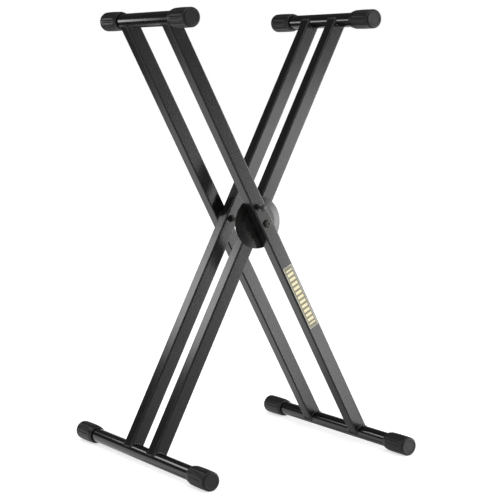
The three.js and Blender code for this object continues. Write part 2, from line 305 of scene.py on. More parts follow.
@dataclass(frozen=True, kw_only=True)
class PrintedLabel(Finish):
    """A pale label printed with a border line and a row of plain bars across it.

    The pattern is in the label's own millimetres, from its middle, with Z along the leg.
    """

    width: float
    length: float
    place: Triple
    turn: float
    bar_colour: str = "#E3D9AE"
    border_colour: str = "#C9C8BC"
    border_inset: float = 1.2
    border_line: float = 0.9
    bar_pitch: float = 11.0
    bar_thickness: float = 6.4
    bar_length: float = 15.2
    bars_run: float = 132.0

    def printed(self, tree: Tree, where: Socket, ground: Socket) -> Socket:
        """Prints the bars and the border over the ground.

        Args:
            tree: the material's tree.
            where: the place on the stand.
            ground: the colour under the print.

        Returns:
            The colour with the print.
        """
        mapping = add_node(
            tree, "ShaderNodeMapping",
            {
                "vector_type": "TEXTURE", "Location": self.place,
                "Rotation": (0.0, self.turn, 0.0), "Scale": (MM, MM, MM),
            },
            {"Vector": where},
        )
        axes = add_node(tree, "ShaderNodeSeparateXYZ", {}, {0: mapping.outputs[0]}).outputs
        known = {"x": axes["X"], "z": axes["Z"]}
        steps = {
            "across": ("ABSOLUTE", "x"),
            "along": ("ABSOLUTE", "z"),
            "from_bar": ("PINGPONG", "z", self.bar_pitch / 2),
            "in_thickness": ("LESS_THAN", "from_bar", self.bar_thickness / 2),
            "in_length": ("LESS_THAN", "across", self.bar_length / 2),
            "in_run": ("LESS_THAN", "along", self.bars_run / 2),
            "in_bar": ("MULTIPLY", "in_thickness", "in_length"),
            "bars": ("MULTIPLY", "in_bar", "in_run"),
            "to_side": ("SUBTRACT", self.width / 2, "across"),
            "to_end": ("SUBTRACT", self.length / 2, "along"),
            "to_edge": ("MINIMUM", "to_side", "to_end"),
            "border": ("COMPARE", "to_edge", self.border_inset, self.border_line / 2),
        }
        for name, (operation, *terms) in steps.items():
            numbers = {k: term for k, term in enumerate(terms) if term not in known}
            links = {k: known[term] for k, term in enumerate(terms) if term in known}
            step = add_node(tree, "ShaderNodeMath", {"operation": operation, **numbers}, links)
            known[name] = step.outputs[0]
        for mask, ink in (("bars", self.bar_colour), ("border", self.border_colour)):
            ground = add_node(
                tree, "ShaderNodeMix", {"data_type": "RGBA", COLOUR_B: linear(ink)},
                {"Factor": known[mask], COLOUR_A: ground},
            ).outputs[COLOUR_OUT]
        return ground


# Polyester powder coat, sprayed and baked: even near-black with a soft satin gloss and the
# faint orange peel of the melted powder, drawn a little coarser than it is.
FRAME_PAINT = Finish(
    "satin_black_powder_coat", "frame_paint", "#131312", "#181817", 0.23, 0.02,
    patch_mm=45.0, grain_mm=2.4, grain_height_mm=0.009,
)
# The same powder lies smoother on round tube, so its highlights are crisp lines.
BAR_PAINT = Finish(
    "gloss_black_powder_coat", "bar_paint", "#121211", "#171716", 0.16, 0.02,
    patch_mm=35.0, grain_mm=2.4, grain_height_mm=0.006,
)
# Powder coat on pressed sheet: a little greyer than on the drawn tube, with the same satin gloss.
DISC_PAINT = Finish(
    "satin_powder_coat_on_pressed_steel", "disc_paint", "#181817", "#20201F", 0.24, 0.03,
    patch_mm=18.0, grain_mm=1.8, grain_height_mm=0.012,
)
# Compression-moulded rubber: deep, dull black. The fine tooth of the mould holds its sheen back,
# which the low IOR stands for.
CAP_RUBBER = Finish(
    "moulded_black_rubber", "cap_rubber", "#121212", "#1A1A19", 0.42, 0.06,
    patch_mm=14.0, grain_mm=1.2, grain_height_mm=0.05, ior=1.4,
)
# Injection-moulded nylon: waxy black with a low sheen.
BLACK_NYLON = Finish(
    "moulded_black_nylon", "black_nylon", "#1D1D1C", "#242423", 0.45, 0.05,
    patch_mm=10.0, grain_mm=0.8, grain_height_mm=0.01, ior=1.53,
)
# Injection-moulded ABS with a satin face: a hard black with a soft-edged shine.
KNOB_PLASTIC = Finish(
    "satin_moulded_black_abs", "knob_plastic", "#161616", "#1E1E1E", 0.38, 0.03,
    patch_mm=8.0, grain_mm=0.8, grain_height_mm=0.004, ior=1.54,
)
# Bright zinc plate on turned steel: pale grey metal with fine machining streaks.
ZINC_PLATE = Finish(
    "bright_zinc_plated_steel", "zinc_plating", "#B9BABA", "#A3A5A7", 0.3, 0.07,
    patch_mm=6.0, grain_mm=0.7, grain_height_mm=0.008, grain_stretch=(1.0, 3.0, 1.0), metallic=1.0,
)
# Oiled black oxide on a machine screw: dark metal with a soft, uneven shine.
BLACK_OXIDE = Finish(
    "oiled_black_oxide_steel", "black_steel", "#464543", "#50504E", 0.4, 0.06,
    patch_mm=5.0, grain_mm=0.9, grain_height_mm=0.01, metallic=1.0,
)


# ---- Shapes ----
class Blank:
    """A piece in the making: a closed mesh in millimetres that operators shape further."""

    def __init__(self) -> None:
        """Starts with nothing in the mesh."""
        self.bm = bmesh.new()

    @classmethod
    def turned(cls, profile: Profile, sides: int = SIDES) -> "Blank":
        """Turns a profile about the Y axis.

        Args:
            profile: (radius, y) points that end on the axis, or close on themselves.
            sides: facets round the piece.

        Returns:
            The turned blank.
        """
        blank = cls()
        closed = profile[0] == profile[-1]
        points = profile[:-1] if closed else profile
        verts = [blank.bm.verts.new((radius, y, 0.0)) for radius, y in points]
        edges = [blank.bm.edges.new(pair) for pair in zip(verts, verts[1:])]
        if closed:
            edges.append(blank.bm.edges.new((verts[-1], verts[0])))
        bmesh.ops.spin(
            blank.bm, geom=verts + edges, cent=(0, 0, 0), axis=(0, 1, 0),
            angle=2 * math.pi, steps=sides, use_merge=True,
        )
        blank.tidy()
        return blank

    @classmethod
    def ring(cls, outside: float, bore: float, y0: float, y1: float, sides: int = SIDES) -> "Blank":
        """A plain ring about the Y axis, by its two diameters."""
        r, b = outside / 2, bore / 2
        return cls.turned([(r, y0), (r, y1), (b, y1), (b, y0), (r, y0)], sides)

    @classmethod
    def drill(cls, diameter: float, y0: float, y1: float, x: float = 0.0, z: float = 0.0) -> "Blank":
        """A round along Y, for cutting a hole.

        Args:
            diameter: of the hole.
            y0: the near end of the cut.
            y1: the far end of the cut.
            x: the hole's place across the leg.
            z: its place along the leg.

        Returns:
            The cutter.
        """
        r = diameter / 2
        blank = cls.turned([(0.0, y0), (r, y0), (r, y1), (0.0, y1)])
        blank.move(x, 0.0, z)
        return blank

    @classmethod
    def hexagon(cls, flats: float, y0: float, y1: float) -> "Blank":
        """A hexagonal bar along Y.

        Args:
            flats: the distance across its flats.
            y0: its near end.
            y1: its far end.

        Returns:
            The bar.
        """
        blank = cls()
        radius = flats / 2 / math.cos(math.pi / 6)
        place = Matrix.Translation((0.0, (y0 + y1) / 2, 0.0)) @ Matrix.Rotation(math.pi / 2, 4, "X")
        bmesh.ops.create_cone(
            blank.bm, cap_ends=True, segments=6, radius1=radius, radius2=radius,
            depth=y1 - y0, matrix=place,
        )
        return blank

    @classmethod
    def block(cls, size: Triple, at: Triple) -> "Blank":
        """A square block.

        Args:
            size: its three sizes.
            at: its middle.

        Returns:
            The block.
        """
        blank = cls()
        place = Matrix.Translation(at) @ Matrix.Diagonal((*size, 1.0))
        bmesh.ops.create_cube(blank.bm, size=1.0, matrix=place)
        return blank

    @classmethod
    def square_bar(cls, flats: float, corner: float, z0: float, z1: float) -> "Blank":
        """Square stock along Z with its four long edges rounded.

        Args:
            flats: the distance across its flats.
            corner: the radius of its edges.
            z0: its lower end.
            z1: its upper end.

        Returns:
            The bar.
        """
        blank = cls.block((flats, flats, z1 - z0), (0.0, 0.0, (z0 + z1) / 2))
        blank.round_along(Vector((0.0, 0.0, 1.0)), corner)
        return blank

    @classmethod
    def held_by(cls, held: bpy.types.Object) -> "Blank":
        """Takes the final shape of an object out of the scene, and clears the object away.

        Args:
            held: an object with modifiers, or a curve with a bevel.

        Returns:
            Its shape.
        """
        blank = cls()
        graph = bpy.context.evaluated_depsgraph_get()
        mesh = bpy.data.meshes.new_from_object(held.evaluated_get(graph), depsgraph=graph)
        blank.bm.from_mesh(mesh)
        bpy.data.batch_remove([mesh, held, held.data])
        return blank

    def bevel(self, edges: list[bmesh.types.BMEdge], width: float, segments: int) -> None:
        """Rounds some of the edges."""
        bmesh.ops.bevel(
            self.bm, geom=edges, offset=width, offset_type="OFFSET", segments=segments,
            profile=0.5, affect="EDGES", material=-1, clamp_overlap=True,
        )

    def round_along(self, axis: Vector, radius: float, segments: int = 6) -> None:
        """Rounds every edge that runs along an axis.

        Args:
            axis: the direction of the edges.
            radius: of the round.
            segments: facets in the round.
        """
        edges = [
            edge for edge in self.bm.edges
            if abs((edge.verts[1].co - edge.verts[0].co).normalized().dot(axis)) > ALIGNED
        ]
        self.bevel(edges, radius, segments)

    def soften(self, width: float, segments: int = 2, angle: float = 35.0) -> None:
        """Breaks every sharp edge.

        Args:
            width: of the break, on each side of the edge.
            segments: facets in the break.
            angle: how sharp an edge has to be, in degrees.
        """
        limit = math.radians(angle)
        edges = [edge for edge in self.bm.edges if edge.is_manifold and edge.calc_face_angle(0.0) > limit]
        self.bevel(edges, width, segments)

    def move(self, x: float, y: float, z: float) -> None:
        """Shifts the blank."""
        bmesh.ops.translate(self.bm, verts=self.bm.verts, vec=(x, y, z))

    def turn(self, angle: float, axis: str) -> None:
        """Turns the blank about one of its own axes through the origin."""
        matrix = Matrix.Rotation(angle, 3, axis)
        bmesh.ops.rotate(self.bm, verts=self.bm.verts, cent=(0, 0, 0), matrix=matrix)

    def tidy(self) -> None:
        """Merges doubled points and points every face outwards."""
        bmesh.ops.remove_doubles(self.bm, verts=self.bm.verts, dist=SAME_POINT)
        bmesh.ops.dissolve_degenerate(self.bm, edges=self.bm.edges, dist=NO_LENGTH)
        bmesh.ops.recalc_face_normals(self.bm, faces=self.bm.faces)

    def cut(self, *cutters: "Blank", operation: str = "DIFFERENCE") -> None:
        """Cuts the blank with others, one after another, and uses them up.

        Args:
            cutters: the blanks to cut with.
            operation: what the boolean does with each of them.
        """
        for cutter in cutters:
            work = self.on_bench()
            tool = cutter.on_bench()
            boolean = work.modifiers.new("cut", "BOOLEAN")
            boolean.operation = operation
            boolean.solver = "EXACT"
            boolean.object = tool
            self.bm = Blank.held_by(work).bm
            bpy.data.batch_remove([tool, tool.data])
            self.tidy()

    def on_bench(self) -> bpy.types.Object:
        """Puts the blank into the scene for a modifier to work on.

        Returns:
            The object that now has its shape.
        """
        mesh = bpy.data.meshes.new("bench")
        self.bm.to_mesh(mesh)
        self.bm.free()
        held = bpy.data.objects.new("bench", mesh)
        bpy.context.scene.collection.objects.link(held)
        return held

    def fit(
        self, name: str, place: Matrix, finish: Finish, body: str,
        stands_for: str | None = None, smooth_below: float = 32.0,
    ) -> None:
        """Makes the blank a piece of the stand.

        Args:
            name: the piece's name.
            place: from the blank's millimetres to the stand's metres.
            finish: what its surface is.
            body: the moving body that it rides on.
            stands_for: the node that it replaces, where there is one.
            smooth_below: edges flatter than this many degrees are shaded smooth.
        """
        self.bm.transform(place)
        bmesh.ops.recalc_face_normals(self.bm, faces=self.bm.faces)
        mesh = bpy.data.meshes.new(name)
        self.bm.to_mesh(mesh)
        self.bm.free()
        mesh.shade_smooth()
        mesh.set_sharp_from_angle(angle=math.radians(smooth_below))
        mesh.materials.append(finish.material())
        piece = bpy.data.objects.new(name, mesh)
        bpy.context.scene.collection.objects.link(piece)
        weighted = piece.modifiers.new("flat_faces_stay_flat", "WEIGHTED_NORMAL")
        weighted.keep_sharp = True
        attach(piece, body)
        if stands_for:
            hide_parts(stands_for)
        LOG.info("%s: %d faces, %s, on %s", name, len(mesh.polygons), finish.name, body)


def rounded_edge(inner: float, outer: float, y0: float, y1: float, steps: int = 8) -> Profile:
    """A quarter-round of a profile, from a flat end out to a side.

    Args:
        inner: the radius where the flat ends.
        outer: the radius of the side.
        y0: the flat end.
        y1: where the side starts.
        steps: facets in the round.

    Returns:
        Its points, both ends included.
    """
    angles = [k / steps * math.pi / 2 for k in range(steps + 1)]
    return [(inner + (outer - inner) * math.sin(a), y0 + (y1 - y0) * (1 - math.cos(a))) for a in angles]


def to_world(x: float, y: float, z: float) -> Matrix:
    """The matrix that takes upright millimetres about a point to the stand's metres."""
    return Matrix.Scale(MM, 4) @ Matrix.Translation((x, y, z))


# ---- Frames ----
@dataclass
class TubeFrame:
    """One frame: a pair of square legs welded to a round top bar and a round foot bar."""

    layout: Layout
    owner: Frame
    tube_corner: float = 3.0
    bar_d: float = 30.0
    bar_edge: float = 0.3
    bar_sides: int = 96
    bead_radius: float = 2.1
    bead_ripple: float = 0.13
    bead_pitch: float = 3.6
    bead_points: int = 160
    bead_resolution: int = 4
    bead_smooth_below: float = 80.0

    @property
    def flat(self) -> float:
        """Half the flat part of one side of a leg."""
        return self.layout.tube / 2 - self.tube_corner

    @property
    def side_run(self) -> float:
        """A quarter of the way round a leg: one flat and one corner."""
        return 2 * self.flat + math.pi / 2 * self.tube_corner

    def build(self, holes: dict[Side, list[Blank]]) -> None:
        """Builds the frame's legs, bars and welds.

        Args:
            holes: what is drilled out of each leg, in the leg's own millimetres.
        """
        for side in Side:
            self.leg(side, holes[side])
            for end, along in zip(ENDS, (self.layout.upper, -self.layout.lower)):
                self.weld(side, end, along)
        for end in ENDS:
            self.bar(f"{self.owner.word}_{end}_bar")

    def leg(self, side: Side, holes: list[Blank]) -> None:
        """Builds a leg of rounded square tube, its ends cut to the round of the bars.

        Args:
            side: which of the pair.
            holes: what is drilled out of it.
        """
        tube, corner = self.layout.tube, self.tube_corner
        low, high = -self.layout.lower, self.layout.upper
        leg = Blank.square_bar(tube, corner, low, high)
        bore = Blank.square_bar(tube - 2 * TUBE_WALL, corner - TUBE_WALL, low - PAST, high + PAST)
        saddles = [Blank.drill(self.bar_d + 2 * SEAT, -tube, tube, z=z) for z in (high, low)]
        leg.cut(bore, *saddles, *holes)
        leg.move(0.0, self.layout.leg_y(self.owner, side), 0.0)
        name = f"{self.owner.word}_leg_{side.word}"
        leg.fit(f"{name}_tube", self.layout.leg_space(self.owner), FRAME_PAINT, self.owner.body, name)

    def bar(self, name: str) -> None:
        """Builds a round tube that ends inside its two caps.

        Args:
            name: the bar's node.
        """
        middle = centre(name)
        half = reach(name)
        bar = Blank.ring(self.bar_d, self.bar_d - 2 * TUBE_WALL, -half, half, self.bar_sides)
        bar.soften(self.bar_edge)
        bar.fit(f"{name}_tube", to_world(middle.x, 0.0, middle.z), BAR_PAINT, self.owner.body, name)

    def weld(self, side: Side, end: str, along: float) -> None:
        """Builds a rippled bead round the end of a leg, in the corner between it and the bar.

        Args:
            side: which of the pair of legs.
            end: which end of the leg.
            along: the bar's axis on the leg's line.
        """
        ripples = round(4 * self.side_run / self.bead_pitch)
        towards = math.copysign(1.0, along)
        curve = bpy.data.curves.new("bead", "CURVE")
        curve.dimensions = "3D"
        curve.bevel_depth = self.bead_radius
        curve.bevel_resolution = self.bead_resolution
        spline = curve.splines.new("POLY")
        spline.points.add(self.bead_points - 1)
        spline.use_cyclic_u = True
        for k, point in enumerate(spline.points):
            share = k / self.bead_points
            x, y = self.outline(share)
            drop = math.sqrt(max((self.bar_d / 2) ** 2 - x * x, 0.0))
            z = along - towards * max(drop, self.tube_corner)
            point.co = (x, y + self.layout.leg_y(self.owner, side), z, 1.0)
            point.radius = 1.0 + self.bead_ripple * math.sin(2 * math.pi * ripples * share)
        holder = bpy.data.objects.new("bead", curve)
        bpy.context.scene.collection.objects.link(holder)
        Blank.held_by(holder).fit(
            f"{self.owner.word}_{end}_weld_{side.word}", self.layout.leg_space(self.owner),
            FRAME_PAINT, self.owner.body, smooth_below=self.bead_smooth_below,
        )

    def outline(self, share: float) -> tuple[float, float]:
        """Goes round a leg's rounded square outline.

        Args:
            share: how far round, from 0 to 1.

        Returns:
            The point's x and y from the leg's centre line.
        """
        turns, rest = divmod(share * 4 * self.side_run, self.side_run)
        if rest < 2 * self.flat:
            point = Vector((self.layout.tube / 2, rest - self.flat))
        else:
            angle = (rest - 2 * self.flat) / self.tube_corner
            round_off = self.tube_corner * Vector((math.cos(angle), math.sin(angle)))
            point = Vector((self.flat, self.flat)) + round_off
        point.rotate(Matrix.Rotation(turns * math.pi / 2, 2))
        return point.x, point.y


# ---- Rubber caps ----
@dataclass
class RubberCap:
    """A thick rubber cap: a sloped mouth, a slightly swollen ribbed body and a dished end."""

    body_d: float = 40.4
    length: float = 68.0
    bore: float = 30.6
    mouth_wall: float = 2.2
    end_wall: float = 7.0
    edge: float = 4.2
    slope: float = 9.0
    swell: float = 0.5
    swell_at: float = 0.45  # share of the body's length at which it is fullest
    swell_steps: int = 12
    dish_d: float = 27.0
    dish_depth: float = 0.7
    dish_side: float = 0.8
    lip_w: float = 0.5  # from the mouth's side out to the end of the slope
    lip_l: float = 1.0
    lip_edge_w: float = 0.6
    lip_edge_l: float = 0.2
    lead_w: float = 0.4  # the chamfer into the bore
    lead_l: float = 0.5
    ribs: int = 18
    rib_depth: float = 0.9
    rib_shift: float = 1.0  # of both ends of the ribs, towards the mouth
    rib_fade: float = 0.2  # share of their length at each end
    sides: int = 144

    @property
    def mouth(self) -> float:
        """Outside radius at the mouth."""
        return self.bore / 2 + self.mouth_wall

    @property
    def shoulder(self) -> float:
        """Where the body ends and the slope to the mouth starts."""
        return self.length - self.slope

    def build(self, bar: str, side: Side, body: str) -> None:
        """Builds the cap on one end of a bar.

        Args:
            bar: the bar's node.
            side: which of its ends.
            body: the moving body that it rides on.
        """
        node = f"{bar}_cap_{side.word}"
        middle = centre(node)
        closed_end = middle.y + side.value * reach(node)
        cap = Blank.turned(self.profile(), self.sides)
        self.press_ribs(cap)
        if side is Side.FAR:
            cap.turn(math.pi, "X")
        cap.fit(f"{node}_rubber", to_world(middle.x, closed_end, middle.z), CAP_RUBBER, body, node)

    def profile(self) -> Profile:
        """Draws the cap's section, with its closed end at y = 0 and its mouth at y = length.

        Returns:
            The section's points.
        """
        dish, bore = self.dish_d / 2, self.bore / 2
        body = []
        for k in range(self.swell_steps + 1):
            share = k / self.swell_steps
            fall = self.swell * (2 * (share - self.swell_at)) ** 2
            body.append((self.body_d / 2 - fall, self.edge + share * (self.shoulder - self.edge)))
        end = body[0][0]
        return [
            (0.0, self.dish_depth),
            (dish - self.dish_side, self.dish_depth),
            (dish, 0.0),
            *rounded_edge(end - self.edge, end, 0.0, self.edge),
            *body[1:],
            (self.mouth + self.lip_w, self.length - self.lip_l),
            (self.mouth, self.length - self.lip_edge_l),
            (self.mouth - self.lip_edge_w, self.length),
            (bore + self.lead_w, self.length),
            (bore, self.length - self.lead_l),
            (bore, self.end_wall),
            (0.0, self.end_wall),
        ]

    def press_ribs(self, cap: Blank) -> None:
        """Presses shallow flutes along the outside of the body, faded out at both ends.

        Args:
            cap: the turned cap.
        """
        start, end = self.edge + self.rib_shift, self.shoulder + self.rib_shift
        for vert in cap.bm.verts:
            radius = math.hypot(vert.co.x, vert.co.z)
            if radius < self.mouth or not start < vert.co.y < end:
                continue
            share = (vert.co.y - start) / (end - start)
            fade = min(1.0, share / self.rib_fade, (1 - share) / self.rib_fade)
            wave = 0.5 - 0.5 * math.cos(self.ribs * math.atan2(vert.co.z, vert.co.x))
            shrink = 1 - self.rib_depth * fade * wave / radius
            vert.co.x *= shrink
            vert.co.z *= shrink


# ---- Pivot ----
@dataclass
class Pivot:
    """The long bolt through all four legs, with its nuts, washers, bushes and sleeves."""

    layout: Layout
    bolt_d: float = 8.0
    bolt_sides: int = 40
    thread_pitch: float = 1.25
    thread_depth: float = 0.55
    thread_root: float = 0.5  # shares of the pitch
    thread_crest: float = 0.9
    thread_inset: float = 1.0
    head_d: float = 15.0
    head_h: float = 4.4
    head_flat: float = 8.4
    head_rim: float = 0.8
    socket: float = 5.0
    socket_depth: float = 2.6
    tail: float = 2.5
    washer_d: float = 17.0
    washer_t: float = 1.6
    washer_edge: float = 0.25
    nut_flats: float = 13.0
    nut_face: float = 0.97  # of the distance across the flats
    nut_chamfer: float = 30.0  # degrees
    nut_past: float = 0.05  # that the cutter passes the corners
    countersink: float = 0.7
    jam_nut_h: float = 5.0
    end_nut_h: float = 8.0
    spacer_d: float = 28.0
    spacer_edge: float = 0.35
    disc_web: float = 3.5
    bush_wall: float = 1.7

    @property
    def hole(self) -> float:
        """The clearance hole round the bolt."""
        return self.bolt_d + 2 * RUN

    @property
    def under_washer(self) -> float:
        """Where head and end nut sit, on the washers outside the outer legs."""
        return self.layout.outer_face + SEAT + self.washer_t + SEAT

    def leg_hole(self, owner: Frame) -> Blank:
        """The hole through a leg: round the bolt, or in an inner leg round the bush."""
        wall = self.bush_wall + RUN if owner is Frame.INNER else 0.0
        return Blank.drill(self.hole + 2 * wall, -self.layout.tube, self.layout.tube)

    def build(self) -> None:
        """Builds everything on the pivot axis."""
        layout = self.layout
        self.bolt()
        jam_face = layout.inner_y - layout.tube / 2 - SEAT
        jam_nut = jam_face - self.washer_t - SEAT - self.jam_nut_h
        self.washer("bolt_head_washer", -layout.outer_face - SEAT - self.washer_t, BLACK_OXIDE)
        self.washer("end_nut_washer", layout.outer_face + SEAT, ZINC_PLATE)
        self.washer("jam_washer_near", -jam_face, BLACK_OXIDE)
        self.washer("jam_washer_far", jam_face - self.washer_t, BLACK_OXIDE)
        self.nut("jam_nut_near", self.jam_nut_h, -jam_nut - self.jam_nut_h, BLACK_OXIDE)
        self.nut("jam_nut_far", self.jam_nut_h, jam_nut, BLACK_OXIDE)
        self.nut("end_lock_nut", self.end_nut_h, self.under_washer, ZINC_PLATE)
        web_near = -(layout.inner_face + SEAT + self.disc_web)
        self.spacer("friction_washer_near", -layout.outer_back + SEAT, web_near - SEAT)
        self.spacer("spacer_washer_far", layout.inner_face + SEAT, layout.outer_back - SEAT)
        for side in Side:
            dress(f"crush_sleeve_{side.word}", ZINC_PLATE)
            dress(f"pivot_bush_{side.word}", BLACK_NYLON)

    def fit(self, piece: Blank, name: str, finish: Finish, node: str) -> None:
        """Fits a piece on the bolt, which stays with the outer legs."""
        piece.fit(name, self.layout.leg_space(Frame.OUTER), finish, Frame.OUTER.body, node)

    def bolt(self) -> None:
        """Builds the bolt: a low round head with a hexagon socket, and a threaded shank."""
        under = -self.under_washer
        top = under - self.head_h
        end = self.under_washer + self.end_nut_h + self.tail
        r = self.bolt_d / 2
        core = r - self.thread_depth
        start, pitch = -self.layout.inner_face, self.thread_pitch
        profile = [
            (0.0, top),
            *rounded_edge(self.head_flat / 2, self.head_d / 2, top, under - self.head_rim),
            (self.head_d / 2, under),
            (r, under),
            (r, start),
        ]
        for k in range(int((end - self.thread_inset - start) / pitch)):
            y = start + k * pitch
            root, crest = y + self.thread_root * pitch, y + self.thread_crest * pitch
            profile += [(core, root), (r, crest), (r, y + pitch)]
        profile += [(core, end), (0.0, end)]
        bolt = Blank.turned(profile, self.bolt_sides)
        bolt.cut(Blank.hexagon(self.socket, top - PAST, top + self.socket_depth))
        self.fit(bolt, "pivot_bolt_threaded", BLACK_OXIDE, "pivot_bolt")

    def washer(self, node: str, y: float, finish: Finish) -> None:
        """Builds a flat steel washer.

        Args:
            node: the washer's node.
            y: its near face.
            finish: what it is plated with.
        """
        washer = Blank.ring(self.washer_d, self.hole, y, y + self.washer_t)
        washer.soften(self.washer_edge)
        self.fit(washer, f"{node}_steel", finish, node)

    def spacer(self, node: str, y0: float, y1: float) -> None:
        """Builds a wide nylon washer between two legs.

        Args:
            node: the washer's node.
            y0: its near face.
            y1: its far face.
        """
        spacer = Blank.ring(self.spacer_d, self.hole, y0, y1)
        spacer.soften(self.spacer_edge)
        self.fit(spacer, f"{node}_nylon", BLACK_NYLON, node)

    def nut(self, node: str, height: float, y: float, finish: Finish) -> None:
        """Builds a hexagon nut with both faces chamfered to a round.

        Args:
            node: the nut's node.
            height: from face to face.
            y: its near face.
            finish: what it is plated with.
        """
        top = y + height
        face = self.nut_flats / 2 * self.nut_face
        corner = self.nut_flats / 2 / math.cos(math.pi / 6) + self.nut_past
        lead = (corner - face) * math.tan(math.radians(self.nut_chamfer))
        nut = Blank.hexagon(self.nut_flats, y, top)
        stock = [(0.0, y), (face, y), (corner, y + lead), (corner, top - lead), (face, top), (0.0, top)]
        nut.cut(Blank.turned(stock), operation="INTERSECT")
        bore, sink = self.hole / 2, self.countersink
        nut.cut(Blank.turned([
            (0.0, y - PAST), (bore + sink + PAST, y - PAST), (bore, y + sink),
            (bore, top - sink), (bore + sink + PAST, top + PAST), (0.0, top + PAST),
        ]))
        self.fit(nut, f"{node}_hexagon", finish, node)


def dress(node: str, finish: Finish) -> None:
    """Gives a node whose shape is right its finish.

    Args:
        node: the node's name.
        finish: what its surface is.
    """
    mesh = frame["nodes"][node].data
    mesh.materials.clear()
    mesh.materials.append(finish.material())
    LOG.info("%s: as it is, %s", node, finish.name)


# ---- Locking disc ----
@dataclass
class LockDisc:
    """The pressed steel disc on the inner frame, with its pin holes, and the rivets that hold it."""

    layout: Layout
    pivot: Pivot
    diameter: float = 110.0
    sides: int = 160
    shoulder: float = 14.0
    bend_w: float = 1.5
    bend_h: float = 0.1
    edge: float = 1.0
    edge_round: float = 0.7
    edge_crown: float = 0.175
    hole_edge: float = 0.2
    index_inset: float = 2.4
    settings_below: int = 4
    pin_hole: float = 6.6
    hole_floor: float = 0.7
    swage_from: float = 29.5
    swage_w: float = 1.6
    swage_h: float = 1.0
    rivet_inset: float = 5.5
    rivet_d: float = 4.8
    rivet_sides: int = 32
    rivet_head_d: float = 9.0
    rivet_head_h: float = 1.3
    rivet_head_rim: float = 0.15
    rivet_crown_d: float = 5.0
    mandrel_d: float = 2.4
    mandrel_dip: float = 0.35
    mandrel_gap_w: float = 0.15
    mandrel_gap_h: float = 0.6
    bulb_d: float = 7.0
    bulb_l: float = 3.0
    bulb_taper: float = 0.8

    @property
    def web_near(self) -> float:
        """Front face of the disc's web."""
        return -(self.layout.inner_face + SEAT + self.pivot.disc_web)

    @property
    def web_radius(self) -> float:
        """Where the web ends and the shoulder starts to slope back."""
        return self.diameter / 2 - self.shoulder

    @property
    def index_radius(self) -> float:
        """Pivot to the circle of pin holes."""
        return self.web_radius - self.index_inset

    @property
    def rivet_places(self) -> tuple[float, float]:
        """The two rivets along the inner leg's line, from the pivot."""
        upper = (self.pivot.spacer_d / 2 + self.index_radius - self.pin_hole / 2) / 2
        return upper, -(self.web_radius - self.rivet_inset)

    def leg_holes(self) -> list[Blank]:
        """The holes that the rivets need in the near inner leg, whose middle is y = 0."""
        tube = self.layout.tube
        return [Blank.drill(self.rivet_d + 2 * RUN, -tube, 0.0, z=z) for z in self.rivet_places]

    def build(self) -> None:
        """Builds the disc and its rivets."""
        back = -self.layout.inner_face - SEAT
        front, outer = self.web_near, self.diameter / 2
        crest = front - self.swage_h
        bore = self.pivot.hole / 2
        edge, turn = back - self.edge, self.edge_round
        disc = Blank.turned([
            (bore, front),
            (self.swage_from, front),
            (self.swage_from + self.swage_w / 2, front - self.swage_h / 2),
            (self.swage_from + self.swage_w, crest),
            (self.web_radius - self.bend_w, front - self.bend_h),
            (self.web_radius, front + self.bend_h),
            *rounded_edge(outer - turn, outer, edge - self.edge_crown, edge + turn),
            (outer, back),
            (bore, back),
            (bore, front),
        ], self.sides)
        for opening in self.openings():
            x, z = -self.index_radius * math.sin(opening), self.index_radius * math.cos(opening)
            disc.cut(Blank.drill(self.pin_hole, crest - PAST, back - self.hole_floor, x, z))
        for z in self.rivet_places:
            disc.cut(Blank.drill(self.rivet_d + 2 * RUN, crest - PAST, back + PAST, z=z))
        disc.soften(self.hole_edge, segments=1, angle=60.0)
        place = self.layout.leg_space(Frame.INNER)
        disc.fit("lock_disc_pressed", place, DISC_PAINT, "inner_frame", "lock_disc", smooth_below=24.0)
        for word, z in zip(("upper", "lower"), self.rivet_places):
            self.rivet(f"disc_rivet_{word}", z)

    def openings(self) -> list[float]:
        """Finds how far the legs stand open at each hole, from folded flat to the lowest setting.

        Returns:
            The angles between the frames, in radians.
        """
        rest = 2 * self.layout.lean
        step = self.layout.fold_high / self.settings_below
        return [rest + self.layout.fold_low] + [rest + k * step for k in range(self.settings_below + 1)]

    def rivet(self, node: str, z: float) -> None:
        """Builds a blind rivet: a domed head round the broken mandrel, and a bulb inside the leg.

        Args:
            node: the rivet's node.
            z: its place along the inner leg.
        """
        head_back = self.web_near - SEAT
        head = head_back - self.rivet_head_h
        bulb = -self.layout.inner_face + TUBE_WALL + SEAT
        end = bulb + self.bulb_l
        r, head_r = self.rivet_d / 2, self.rivet_head_d / 2
        mandrel, bulb_r = self.mandrel_d / 2, self.bulb_d / 2
        rivet = Blank.turned([
            (0.0, head + self.mandrel_dip),
            (mandrel - self.mandrel_gap_w, head + self.mandrel_dip),
            (mandrel, head + self.mandrel_gap_h),
            (mandrel + self.mandrel_gap_w, head),
            *rounded_edge(self.rivet_crown_d / 2, head_r, head, head_back - self.rivet_head_rim, steps=6),
            (head_r, head_back),
            (r, head_back),
            (r, bulb),
            (bulb_r, bulb + self.bulb_taper),
            (bulb_r, end - self.bulb_taper),
            (r, end),
            (0.0, end),
        ], self.rivet_sides)
        rivet.move(0.0, 0.0, z)
        rivet.fit(f"{node}_blind", self.layout.leg_space(Frame.INNER), BLACK_OXIDE, "inner_frame", node)


